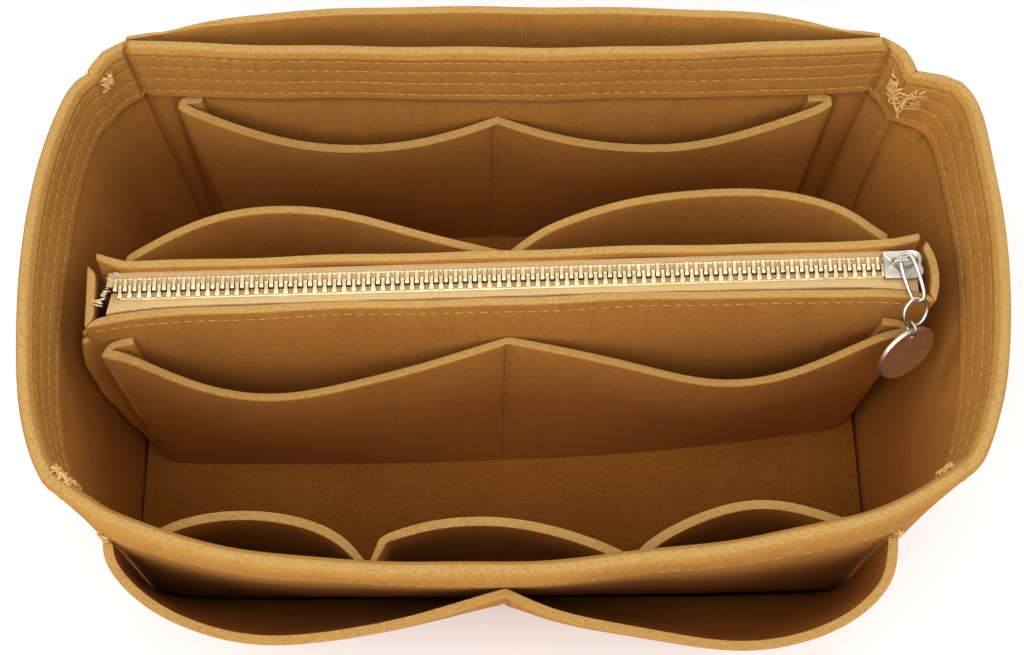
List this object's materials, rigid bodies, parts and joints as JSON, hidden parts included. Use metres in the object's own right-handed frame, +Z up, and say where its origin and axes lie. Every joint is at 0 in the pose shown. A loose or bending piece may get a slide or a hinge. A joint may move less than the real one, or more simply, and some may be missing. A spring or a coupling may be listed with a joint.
{
  "type": "bag organizer insert",
  "caption": "Open felt tub for the inside of a handbag, with wall pockets inside and out and a standing zip pouch, with pockets on both faces, that lifts out.",
  "frame": {"origin": "on the ground under the base panel, halfway along it and 8.3 mm in front of its middle", "axes": "+X to the right along the zip, +Y to the rear, where the flat lining wall is, +Z up"},
  "size_m": [0.3133, 0.2091, 0.151],
  "materials": {
    "felt": "matt pressed felt, camel brown",
    "thread": "polyester sewing thread",
    "tape": "woven tape, light sand",
    "zip_metal": "pale gold plated, bright",
    "pull_metal": "polished"
  },
  "bodies": {
    "tub": {"base_panel": "felt", "front_panel": "felt", "right_side_panel": "felt", "rear_lining_panel": "felt", "left_side_panel": "felt", "rear_outer_panel": "felt", "rear_wall_pocket": "felt", "front_inner_pocket": "felt", "front_outer_pocket": "felt", "front_left_tack": "thread", "front_right_tack": "thread", "rear_right_tack": "thread", "rear_left_tack": "thread", "outer_pocket_left_tack": "thread", "outer_pocket_right_tack": "thread"},
    "pouch": {"pouch_front_panel": "felt", "pouch_right_gusset": "felt", "pouch_rear_panel": "felt", "pouch_left_gusset": "felt", "pouch_bottom_panel": "felt", "pouch_front_pocket": "felt", "pouch_rear_pocket": "felt", "zip_tape_front": "tape", "zip_tape_rear": "tape", "zip_teeth_front": "zip_metal", "zip_teeth_rear": "zip_metal", "zip_stop_front": "zip_metal", "zip_stop_rear": "zip_metal", "zip_end_thread": "tape"},
    "slider": {"zip_slider": "zip_metal"},
    "link": {"pull_link": "pull_metal"},
    "ring": {"pull_ring": "pull_metal"},
    "small_ring": {"tag_ring": "pull_metal"},
    "tag": {"pull_tag": "pull_metal"}
  },
  "joints": [
    {"name": "pouch_lift", "type": "slide", "parent": "tub", "child": "pouch", "axis": [0, 0, 1], "range_m": [0, 0.16]},
    {"name": "slider_run", "type": "slide", "parent": "pouch", "child": "slider", "axis": [0.9997, 0.0253, 0], "range_m": [-0.248, 0], "deforming": ["zip_teeth_front", "zip_teeth_rear"]},
    {"name": "link_swing", "type": "hinge", "parent": "slider", "child": "link", "pos_m": [0.13001, 0.00985, 0.13775], "axis": [0.9997, 0.0253, 0], "range_deg": [-150, 0]},
    {"name": "ring_swing", "type": "hinge", "parent": "link", "child": "ring", "pos_m": [0.1333, -0.0037, 0.1339], "axis": [0.6854, 0.0211, 0.7278], "range_deg": [-50, 0]},
    {"name": "small_ring_swing", "type": "hinge", "parent": "ring", "child": "small_ring", "pos_m": [0.1321, -0.01, 0.1284], "axis": [0.923, 0.132, -0.3614], "range_deg": [-45, 0]},
    {"name": "tag_swing", "type": "hinge", "parent": "small_ring", "child": "tag", "pos_m": [0.1321, -0.0112, 0.1254], "axis": [-0.4591, 0.8169, -0.3492], "range_deg": [-25, 25]}
  ]
}
